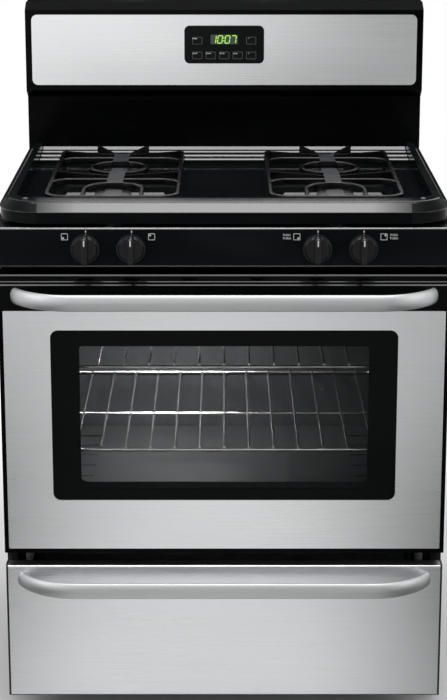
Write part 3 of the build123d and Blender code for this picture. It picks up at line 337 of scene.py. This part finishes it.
coat(cast_metal("plated_wire", (0.9, 0.9, 0.91), 0.22, 60.0, 0.02), "oven_rack_lower", "oven_rack_upper",
     "temperature_probe")
coat(cast_metal("cast_aluminium", (0.72, 0.72, 0.73), 0.34, 420.0, 0.12), "burner_heads", "burner_tubes",
     "pressure_regulator")
coat(cast_metal("machined_brass", (0.74, 0.55, 0.26), 0.26, 300.0, 0.05), "burner_valves", "valve_stem_1",
     "valve_stem_2", "valve_stem_3", "valve_stem_4")

# %% [markdown]
# The grates and burner caps are cast iron under a thin matte enamel. Sand leaves a pebbled skin. The
# colour is painted lighter on faces that look up near the top, most along each flat spine: a painted
# highlight of the light from above, broken into patches.


# %% Cast iron
BURNER_X = 0.190
FLAT_HALF = 0.0145


def cast_iron(name, top_light_from, top_light_to):
    material, paint = new_paint(name)
    x, _, z = paint.axes()
    sand = paint.noise(520.0, detail=3.0)
    patch = paint.noise(45.0, detail=3.0)
    upward = paint.upward(0.75, 0.97)
    height = paint.node("ShaderNodeMapRange", None, {0: z, 1: top_light_from, 2: top_light_to})
    flat = abs(abs(x) - BURNER_X) < FLAT_HALF
    # Painted top light: upward faces near the top get a lighter base colour, in patches, most on the flat
    # spines.
    painted_top_light = height * upward * (flat * 0.95 + 0.05) * paint.ramp(patch, (0.3, 0.6), (0.7, 1.0))
    paint.surface({
        "Base Color": paint.mix(painted_top_light, tone(0.002, 0.002, 0.0022), tone(0.05, 0.051, 0.053)),
        "Roughness": 0.24 + painted_top_light * 0.2 + (patch - 0.5) * 0.16,
        "Specular IOR Level": 0.35,
        "Normal": paint.bump(sand, 0.2, 0.0005),
    })
    return material


coat(cast_iron("cast_grate", 0.905, 0.916), "grate_left", "grate_right")
caps = [f"burner_cap_{end}_{side}" for end in ("front", "rear") for side in ("left", "right")]
coat(cast_iron("cast_cap", 0.898, 0.909), *caps)

# %% [markdown]
# The outer window is one sheet of glass with a black border fired on it. The border is a mask worked out
# from the distance to a rounded rectangle. It is opaque, and the middle is a tinted, clear pane.

# %% Window glass
CLEAR_HALF = 0.243
CLEAR_LOW, CLEAR_HIGH = 0.4165, 0.6695
CLEAR_CORNER = 0.005


def window_glass(name, tint, bordered):
    material, paint = new_paint(name)
    smudge = paint.noise(4.0)
    sockets = {"Roughness": 0.03 + smudge * 0.03, "Specular IOR Level": 0.03}
    if bordered:
        x, _, z = paint.axes()
        middle = (CLEAR_LOW + CLEAR_HIGH) / 2
        reach = (CLEAR_HIGH - CLEAR_LOW) / 2
        beyond_x = (abs(x) - (CLEAR_HALF - CLEAR_CORNER)).math("MAXIMUM", 0.0)
        beyond_z = (abs(z - middle) - (reach - CLEAR_CORNER)).math("MAXIMUM", 0.0)
        printed = (beyond_x * beyond_x + beyond_z * beyond_z).math("SQRT") > CLEAR_CORNER
        sockets["Base Color"] = paint.mix(printed, tone(0.01, 0.012, 0.013), tone(0.0045, 0.005, 0.0052))
        sockets["Alpha"] = printed * (1.0 - tint) + tint
    else:
        sockets["Base Color"] = paint.mix(smudge, tone(0.009, 0.011, 0.012), tone(0.013, 0.015, 0.016))
        sockets["Alpha"] = tint
    paint.surface(sockets)
    return material


coat(window_glass("printed_window", 0.14, True), "door_glass_outer")
coat(window_glass("clear_window", 0.05, False), "door_glass_inner")

# %% [markdown]
# Small parts are moulded: satin black plastic for knobs, keys and bezel, white ceramic at the sparks,
# nylon feet, a woven seal, a wool blanket and a green circuit board.


# %% Moulded and fibre parts
def moulded(name, colour, roughness, grain_scale, strength, spread=0.25, gloss=0.5, polished=False):
    material, paint = new_paint(name)
    grain = paint.noise(grain_scale, detail=2.0)
    drift = paint.noise(18.0, detail=2.0)
    pale = tuple(part * (1.0 + spread) for part in colour)
    sockets = {
        "Base Color": paint.mix(drift, tone(*colour), tone(*pale)),
        "Roughness": roughness + (grain - 0.5) * 0.12,
        "Specular IOR Level": gloss,
        "Normal": paint.bump(grain, strength, 0.0003),
    }
    if polished:
        sockets["Coat Weight"] = paint.upward(0.15, 0.45)
        sockets["Coat Roughness"] = 0.12
    paint.surface(sockets)
    return material


knob_plastic = moulded("knob_plastic", (0.010, 0.010, 0.0105), 0.2, 900.0, 0.03, gloss=0.22, polished=True)
bezel_plastic = moulded("bezel_plastic", (0.0035, 0.004, 0.0043), 0.16, 700.0, 0.02, gloss=0.05)
key_plastic = moulded("key_plastic", (0.005, 0.0055, 0.006), 0.3, 900.0, 0.04, gloss=0.06)
coat(knob_plastic, "burner_knob_1", "burner_knob_2", "burner_knob_3", "burner_knob_4")
coat(bezel_plastic, "clock_bezel")
coat(key_plastic, *[f"clock_key_{number}" for number in range(1, 8)])
coat(moulded("display_lens", (0.026, 0.036, 0.026), 0.2, 400.0, 0.02), "clock_display")
coat(moulded("circuit_board", (0.02, 0.12, 0.05), 0.4, 260.0, 0.1, 0.9), "control_board")
coat(moulded("spark_ceramic", (0.72, 0.71, 0.67), 0.2, 300.0, 0.02, 0.08), "spark_electrodes")
coat(moulded("nylon_foot", (0.014, 0.014, 0.014), 0.5, 500.0, 0.2), "levelling_feet")
coat(moulded("woven_seal", (0.05, 0.05, 0.05), 0.9, 700.0, 0.9, 0.6), "door_gasket")
coat(moulded("wool_blanket", (0.62, 0.54, 0.3), 0.95, 240.0, 1.0, 0.3), "oven_insulation")

# %% [markdown]
# The white marks on the control panel are printed: a square with one filled corner shows which burner a
# knob works, a tick stands above each knob, and two short words tell the cook to push and turn. Each is
# modelled as a thin layer of ink: the squares and ticks are raised from a plane, the words are text made
# a mesh, and all are joined.

# %% Ink and selection helpers
INK = 0.00025
ink_white, paint = new_paint("printed_ink")
paint.surface({"Base Color": paint.mix(paint.noise(300.0), tone(0.62), tone(0.8)), "Roughness": 0.5})


def fresh_plane(place, size):
    """A square that faces the front, placed and ready to be shaped in edit mode."""
    bpy.ops.object.select_all(action="DESELECT")
    bpy.ops.mesh.primitive_plane_add(size=1.0, location=place, rotation=(math.pi / 2, 0, 0))
    piece = bpy.context.active_object
    piece.scale = (size[0], size[1], 1.0)
    bpy.ops.object.transform_apply(location=True, rotation=True, scale=True)
    bpy.ops.object.mode_set(mode="EDIT")
    bpy.ops.mesh.select_all(action="SELECT")
    return piece


def raise_ink(thickness=INK):
    """Pulls the selected faces to the front, closes the layer and leaves edit mode."""
    bpy.ops.mesh.select_all(action="SELECT")
    bpy.ops.mesh.extrude_region_move(TRANSFORM_OT_translate={"value": (0.0, -thickness, 0.0)})
    bpy.ops.mesh.select_all(action="SELECT")
    bpy.ops.mesh.normals_make_consistent(inside=False)
    bpy.ops.object.mode_set(mode="OBJECT")


def printed_bar(place, size):
    piece = fresh_plane(place, size)
    bpy.ops.mesh.bevel(offset=min(size) * 0.3, segments=2, affect="VERTICES")
    raise_ink()
    return piece


def printed_frame(place, size, line, thickness=INK):
    piece = fresh_plane(place, size)
    bpy.ops.mesh.bevel(offset=min(size) * 0.08, segments=2, affect="VERTICES")
    bpy.ops.mesh.inset(thickness=line)
    bpy.ops.mesh.delete(type="FACE")
    raise_ink(thickness)
    return piece


def printed_word(text, place, size):
    bpy.ops.object.select_all(action="DESELECT")
    bpy.ops.object.text_add(location=place, rotation=(math.pi / 2, 0, 0))
    label = bpy.context.active_object
    label.data.body = text
    label.data.size = size
    label.data.align_x = "CENTER"
    label.data.align_y = "CENTER"
    label.data.resolution_u = 2
    label.data.extrude = INK / 2
    bpy.ops.object.convert(target="MESH")
    label = bpy.context.active_object
    bpy.ops.object.transform_apply(location=True, rotation=True, scale=True)
    return label


def join(pieces, name, body, material):
    """Joins pieces into one, gives it a finish and lets it ride on a body."""
    bpy.ops.object.select_all(action="DESELECT")
    for piece in pieces:
        piece.select_set(True)
    bpy.context.view_layer.objects.active = pieces[0]
    if len(pieces) > 1:
        bpy.ops.object.join()
    whole = bpy.context.active_object
    whole.name = name
    whole.data.name = name
    whole.data.materials.clear()
    whole.data.materials.append(material)
    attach(whole, body)
    print(name, len(whole.data.polygons), "faces on", body)
    return whole


# %% Marks on the control panel
KNOB_X = (-0.230, -0.154, 0.154, 0.230)
KNOB_Z = 0.839
panel_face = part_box("control_panel")[0][1]
MARK = 0.0112
MARK_ASIDE, MARK_RISE = 0.034, 0.0185
MARK_LINE = 0.0008
DOT, DOT_STEP = MARK * 0.26, MARK * 0.22
TICK, TICK_ASIDE, TICK_RISE = (0.0016, 0.0042), 0.001, 0.0272
WORD_ASIDE, WORD_TALL = 0.0505, 0.0052
marks = []
for knob_x, side, corner in zip(KNOB_X, (-1, 1, -1, 1), ((-1, -1), (-1, 1), (1, -1), (1, 1))):
    centre = (knob_x + side * MARK_ASIDE, panel_face, KNOB_Z + MARK_RISE)
    dot = (centre[0] + corner[0] * DOT_STEP, panel_face, centre[2] + corner[1] * DOT_STEP)
    marks.append(printed_frame(centre, (MARK, MARK), MARK_LINE))
    marks.append(printed_bar(dot, (DOT, DOT)))
    marks.append(printed_bar((knob_x + TICK_ASIDE, panel_face, KNOB_Z + TICK_RISE), TICK))
for knob_x, side in ((KNOB_X[2], -1), (KNOB_X[3], 1)):
    for text, rise in (("PUSH", 0.0213), ("TURN", 0.0157)):
        spot = (knob_x + side * WORD_ASIDE, panel_face - INK / 2, KNOB_Z + rise)
        marks.append(printed_word(text, spot, WORD_TALL))
join(marks, "panel_marks", "body", ink_white)

# %% [markdown]
# Each knob has a white pointer let into the top of its grip. It rides on the knob, so it shows how far
# the burner is turned.

# %% Knob pointers
POINTER, POINTER_RISE = (0.0021, 0.0105), 0.0145
POINTER_SINK = 0.00005
knob_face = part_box("burner_knob_1")[0][1]
for number, knob_x in enumerate(KNOB_X, 1):
    tip = printed_bar((knob_x, knob_face + POINTER_SINK, KNOB_Z + POINTER_RISE), POINTER)
    join([tip], f"knob_pointer_{number}", f"knob_{number}", ink_white)

# %% [markdown]
# The clock shows four slanted seven-segment digits. Each lit segment is a plane whose corners are
# bevelled off, raised to a thin bar. Only the segments that are lit are made, so the display stays dark
# round them.

# %% Clock digits
SEGMENTS = {"0": "abcdef", "1": "bc", "7": "abc"}
DIGIT_WIDE, DIGIT_TALL = 0.0084, 0.0142
DIGIT_X = (-0.0198, -0.0078, 0.0062, 0.0180)
DIGIT_LEAN = 0.14
SEGMENT_WIDE, SEGMENT_CORNER, SEGMENT_THICK = 0.0017, 0.0007, 0.0002
COLON_X, COLON_HALF, COLON_SHARE = -0.0008, 0.0026, 0.28
CLOCK_Z = 1.1065
DIGIT_Z = CLOCK_Z + 0.010
clock_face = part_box("clock_display")[0][1]
glow, paint = new_paint("lit_digits")
paint.surface({
    "Base Color": tone(0.02, 0.08, 0.01),
    "Emission Color": paint.mix(paint.noise(900.0), tone(0.36, 0.9, 0.06), tone(0.5, 1.0, 0.12)),
    "Emission Strength": 1.0,
    "Roughness": 0.4,
})
SPOTS = {
    "a": (0.0, 1.0, True), "b": (0.5, 0.5, False), "c": (0.5, -0.5, False), "d": (0.0, -1.0, True),
    "e": (-0.5, -0.5, False), "f": (-0.5, 0.5, False),
}


def lit_segment(x, z, lying):
    length = DIGIT_WIDE * 0.86 if lying else DIGIT_TALL * 0.46
    piece = fresh_plane((x, clock_face, z), (length, SEGMENT_WIDE) if lying else (SEGMENT_WIDE, length))
    bpy.ops.mesh.bevel(offset=SEGMENT_CORNER, segments=1, affect="VERTICES")
    raise_ink(SEGMENT_THICK)
    return piece


digits = []
for text, centre in zip("1007", DIGIT_X):
    for key in SEGMENTS[text]:
        across, up, lying = SPOTS[key]
        digits.append(lit_segment(centre + across * DIGIT_WIDE, DIGIT_Z + up * DIGIT_TALL / 2, lying))
to_colon = Matrix.Translation((COLON_X, 0, 0))
narrow = to_colon @ Matrix.Scale(COLON_SHARE, 4, (1, 0, 0)) @ to_colon.inverted()
for up in (-COLON_HALF, COLON_HALF):
    digits.append(lit_segment(COLON_X, DIGIT_Z + up, True))
    digits[-1].data.transform(narrow)
clock_digits = join(digits, "clock_digits", "body", glow)
lean = Matrix.Identity(4)
lean[0][2] = DIGIT_LEAN
pivot = Matrix.Translation((0, 0, DIGIT_Z))
clock_digits.data.transform(pivot @ lean @ pivot.inverted())

# %% [markdown]
# Every clock key has a thin grey frame printed round its edge and a small label or arrow at its upper
# left. They ride on the key and travel with it.

# %% Key prints
KEY_PITCH, UPPER_ROW, LOWER_ROW = 0.0255, 0.0077, -0.0205
KEYS = (
    (-2, UPPER_ROW, "bake"), (2, UPPER_ROW, "^"), (-2, LOWER_ROW, "broil"), (-1, LOWER_ROW, "timer"),
    (0, LOWER_ROW, "clock"), (1, LOWER_ROW, "stop"), (2, LOWER_ROW, "v"),
)
KEY_FRAME, KEY_LINE = (0.0185, 0.0135), 0.0005
LABEL_ASIDE, LABEL_RISE, LABEL_TALL = -0.0045, 0.0042, 0.0046
key_grey, paint = new_paint("key_print")
paint.surface({"Base Color": paint.mix(paint.noise(400.0), tone(0.12), tone(0.17)), "Roughness": 0.5})
for number, (column, row, text) in enumerate(KEYS, 1):
    key_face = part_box(f"clock_key_{number}")[0][1]
    place = (column * KEY_PITCH, key_face, CLOCK_Z + row)
    border = printed_frame(place, KEY_FRAME, KEY_LINE)
    join([border], f"key_frame_{number}", f"key_{number}", key_grey)
    spot = (place[0] + LABEL_ASIDE, key_face - INK / 2, place[2] + LABEL_RISE)
    label = printed_word(text, spot, LABEL_TALL)
    join([label], f"key_label_{number}", f"key_{number}", ink_white)

# %% [markdown]
# Sheet metal is held by washer-head screws. Each is made from a cylinder: its top is inset and raised to
# a crown, and the middle is inset again and sunk for the driver. They go round the rear panel, the
# backguard cover, the oven floor and the door liner.


# %% Screws
def screw(place, turn, radius=0.0042):
    """A washer-head screw that is made facing up and then turned."""
    bpy.ops.object.select_all(action="DESELECT")
    bpy.ops.mesh.primitive_cylinder_add(vertices=24, radius=radius, depth=radius * 0.7)
    piece = bpy.context.active_object
    bpy.ops.object.mode_set(mode="EDIT")
    bpy.ops.mesh.select_mode(type="FACE")
    bpy.ops.mesh.select_all(action="DESELECT")
    bpy.ops.object.mode_set(mode="OBJECT")
    for face in piece.data.polygons:
        face.select = face.normal.z > 0.9
    bpy.ops.object.mode_set(mode="EDIT")
    bpy.ops.mesh.inset(thickness=radius * 0.28)
    bpy.ops.transform.translate(value=(0, 0, radius * 0.35))
    bpy.ops.mesh.inset(thickness=radius * 0.2)
    bpy.ops.mesh.inset(thickness=radius * 0.12)
    bpy.ops.mesh.extrude_region_move(TRANSFORM_OT_translate={"value": (0, 0, -radius * 0.4)})
    bpy.ops.object.mode_set(mode="OBJECT")
    piece.rotation_euler = turn
    piece.location = place
    bpy.ops.object.transform_apply(location=True, rotation=True, scale=True)
    bpy.ops.object.shade_smooth_by_angle(angle=math.radians(35))
    return piece


TO_BACK, TO_TOP = (-math.pi / 2, 0, 0), (0, 0, 0)
HEAD_STEP = 0.0012
REAR_SHEET_Y = 0.3447
panel_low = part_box("rear_panel")[0]
cover_low, cover_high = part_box("backguard_rear_cover")
screws = []
for x in (-0.36, -0.18, 0.0, 0.18, 0.36):
    screws.append(screw((x, REAR_SHEET_Y + HEAD_STEP, panel_low[2] + 0.014), TO_BACK))
    screws.append(screw((x, cover_high[1] - HEAD_STEP, cover_low[2] + 0.02), TO_BACK))
    screws.append(screw((x, cover_high[1] - HEAD_STEP, cover_high[2] - 0.018), TO_BACK))
for z in (0.25, 0.45, 0.65, 0.85):
    for side in (-1, 1):
        screws.append(screw((side * 0.368, REAR_SHEET_Y + HEAD_STEP, z), TO_BACK))
join(screws, "rear_screws", "body", sheet_steel)

FLOOR_SHEET, FLOOR_HEAD, FLOOR_HEAD_STEP = 0.0012, 0.006, 0.0014
floor_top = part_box("oven_floor")[0][2] + FLOOR_SHEET
floor_screws = []
for side in (-1, 1):
    for y in (-0.19, -0.11):
        floor_screws.append(screw((side * 0.228, y, floor_top + FLOOR_HEAD_STEP), TO_TOP, FLOOR_HEAD))
join(floor_screws, "oven_floor_screws", "body", sheet_steel)

LINER_FACE, LINER_HEAD = -0.2558, 0.0046
liner_places = [(side * 0.352, z) for side in (-1, 1) for z in (0.42, 0.56, 0.70)]
liner_places += [(x, 0.782) for x in (-0.30, -0.10, 0.10, 0.30)]
liner_screws = [screw((x, LINER_FACE + HEAD_STEP, z), TO_BACK, LINER_HEAD) for x, z in liner_places]
join(liner_screws, "door_liner_screws", "door", sheet_steel)

# %% [markdown]
# Two small rubber buttons on the front rim keep a lifted cooktop from chipping. Each is a short cylinder
# whose upper edge is bevelled into a dome.


# %% Rim buttons
BUTTON_RADIUS, BUTTON_TALL, BUTTON_ROUND = 0.0042, 0.0026, 0.0017
BUTTON_X, BUTTON_Y, BUTTON_Z = 0.331, -0.2675, 0.9153


def rim_button(place):
    bpy.ops.object.select_all(action="DESELECT")
    bpy.ops.mesh.primitive_cylinder_add(vertices=28, radius=BUTTON_RADIUS, depth=BUTTON_TALL, location=place)
    piece = bpy.context.active_object
    bpy.ops.object.mode_set(mode="EDIT")
    bpy.ops.mesh.select_mode(type="EDGE")
    bpy.ops.mesh.select_all(action="DESELECT")
    bpy.ops.object.mode_set(mode="OBJECT")
    for edge in piece.data.edges:
        edge.select = all(piece.data.vertices[end].co.z > 0 for end in edge.vertices)
    bpy.ops.object.mode_set(mode="EDIT")
    bpy.ops.mesh.bevel(offset=BUTTON_ROUND, segments=4)
    bpy.ops.object.mode_set(mode="OBJECT")
    bpy.ops.object.transform_apply(location=True, rotation=True, scale=True)
    bpy.ops.object.shade_smooth_by_angle(angle=math.radians(50))
    return piece


button_rubber = moulded("button_rubber", (0.05, 0.05, 0.052), 0.5, 500.0, 0.1)
buttons = [rim_button((side * BUTTON_X, BUTTON_Y, BUTTON_Z)) for side in (-1, 1)]
join(buttons, "rim_buttons", "body", button_rubber)

# %% [markdown]
# The studio is a pale floor that fades out into the surround, six soft lamps round the range and two
# small ones in the oven. The surround is plain white to the camera, in mirror reflections and through
# glass, and a grey gradient to everything else. Dark cards with soft edges, which only mirror reflections
# see, shape the shine on steel and enamel.

# %% Floor, surround and lamps
bpy.ops.object.select_all(action="DESELECT")
bpy.ops.mesh.primitive_circle_add(vertices=96, radius=4.0, fill_type="NGON", location=(0, 0, 0))
floor = bpy.context.active_object
floor.name = "studio_floor"
floor_paint, paint = new_paint("studio_floor")
x, y, _ = paint.axes()
from_centre = (x * x + y * y).math("SQRT")
fade = paint.node("ShaderNodeMapRange", {"interpolation_type": "SMOOTHSTEP"},
                  {0: from_centre, 1: 0.65, 2: 1.4})
pale = paint.node("ShaderNodeBsdfDiffuse", None, {"Color": tone(0.78)})
clear = paint.node("ShaderNodeBsdfTransparent")
ground = paint.node("ShaderNodeMixShader", None, {0: fade, 1: pale, 2: clear})
paint.node("ShaderNodeOutputMaterial", None, {"Surface": ground})
floor.data.materials.append(floor_paint)

world = bpy.data.worlds.new("studio_surround")
bpy.context.scene.world = world
world.use_nodes = True
paint = Paint(world.node_tree)
ray = paint.node("ShaderNodeLightPath", out="Is Camera Ray")
seen = (ray + ray.beside("Is Glossy Ray") + ray.beside("Is Transmission Ray")).math("MINIMUM", 1.0)
way = paint.node("ShaderNodeSeparateXYZ", None, {0: paint.node("ShaderNodeTexCoord", out="Generated")})
level = paint.ramp(way.beside(2) * 0.5 + 0.5, (0.0, 0.45), (0.45, 0.40), (0.6, 0.32), (1.0, 0.6))
shade = paint.mix(seen, level, tone(1.0))
surround = paint.node("ShaderNodeBackground", None, {"Color": shade})
paint.node("ShaderNodeOutputWorld", None, {"Surface": surround})


def soft_lamp(name, place, aim, size, power, spread=180.0):
    data = bpy.data.lights.new(name, "AREA")
    data.shape = "RECTANGLE"
    data.size, data.size_y = size
    data.energy = power
    data.spread = math.radians(spread)
    lamp = bpy.data.objects.new(name, data)
    lamp.location = place
    lamp.rotation_euler = (Vector(aim) - Vector(place)).to_track_quat("-Z", "Y").to_euler()
    bpy.context.scene.collection.objects.link(lamp)


soft_lamp("top_lamp", (0.0, -1.07, 3.0), (0, -0.3, 0.9), (1.1, 0.6), 19.0)
soft_lamp("ridge_lamp", (0.0, -0.30, 3.0), (0, 0.1, 0.9), (1.8, 0.5), 26.0)
soft_lamp("plate_lamp", (-0.5, -3.3, 0.75), (0.0, 0.2, 1.1), (0.9, 0.5), 0.9)
soft_lamp("left_lamp", (-2.8, -1.8, 1.9), (0, -0.1, 0.7), (1.4, 2.0), 22.0)
soft_lamp("right_lamp", (2.9, -1.6, 1.6), (0, -0.1, 0.6), (1.4, 2.0), 14.0)
soft_lamp("back_lamp", (0.6, 3.2, 2.4), (0, 0.2, 0.7), (2.4, 1.6), 45.0)
soft_lamp("oven_glow", (-0.10, -0.14, 0.752), (-0.09, 0.12, 0.42), (0.20, 0.10), 3.6, 90.0)
soft_lamp("oven_side_glow", (-0.285, -0.06, 0.62), (0.0, 0.0, 0.5), (0.06, 0.12), 0.5)


def flag(name, place, size, tilt=math.pi / 2):
    """A dark card that only mirror reflections see, as a photographer sets to shape the shine on metal."""
    bpy.ops.object.select_all(action="DESELECT")
    bpy.ops.mesh.primitive_plane_add(size=1.0, location=place, rotation=(tilt, 0, 0))
    card = bpy.context.active_object
    card.name = name
    card.scale = (size[0], size[1], 1.0)
    bpy.ops.object.transform_apply(location=True, rotation=True, scale=True)
    card.visible_camera = False
    card.visible_diffuse = False
    card.visible_shadow = False
    card.visible_transmission = False
    card.data.materials.append(dark_card)


dark_card, paint = new_paint("dark_card")
across = paint.node("ShaderNodeSeparateXYZ", None, {0: paint.node("ShaderNodeTexCoord", out="UV")})
inward_x = 0.5 - abs(across - 0.5)
inward_y = 0.5 - abs(across.beside(1) - 0.5)
solid = paint.node("ShaderNodeMapRange", {"interpolation_type": "SMOOTHSTEP"},
                   {0: inward_x.math("MINIMUM", inward_y), 1: 0.0, 2: 0.3})
black = paint.node("ShaderNodeBsdfDiffuse", None, {"Color": tone(0.02)})
open_air = paint.node("ShaderNodeBsdfTransparent")
card_mix = paint.node("ShaderNodeMixShader", None, {0: solid, 1: open_air, 2: black})
paint.node("ShaderNodeOutputMaterial", None, {"Surface": card_mix})
flag("right_flag", (1.47, -3.0, -1.1), (2.3, 2.9))
flag("left_flag", (-1.46, -3.0, -1.1), (2.3, 2.9))
flag("upper_flag", (1.22, -3.0, 1.15), (2.3, 1.9))
flag("horizon_flag", (0.0, -3.15, 0.17), (2.4, 0.34))
flag("rear_flag", (0.0, 1.6, 1.3), (5.0, 0.9))
for name, side in (("left", -1), ("right", 1)):
    flag(f"{name}_rim_flag", (side * 0.80, 1.6, 0.68), (1.0, 0.9))
flag("right_floor_flag", (0.95, -0.9, 0.004), (1.7, 2.0), 0.0)
flag("left_floor_flag", (-1.05, -0.9, 0.004), (1.7, 2.0), 0.0)
print("lamps placed")
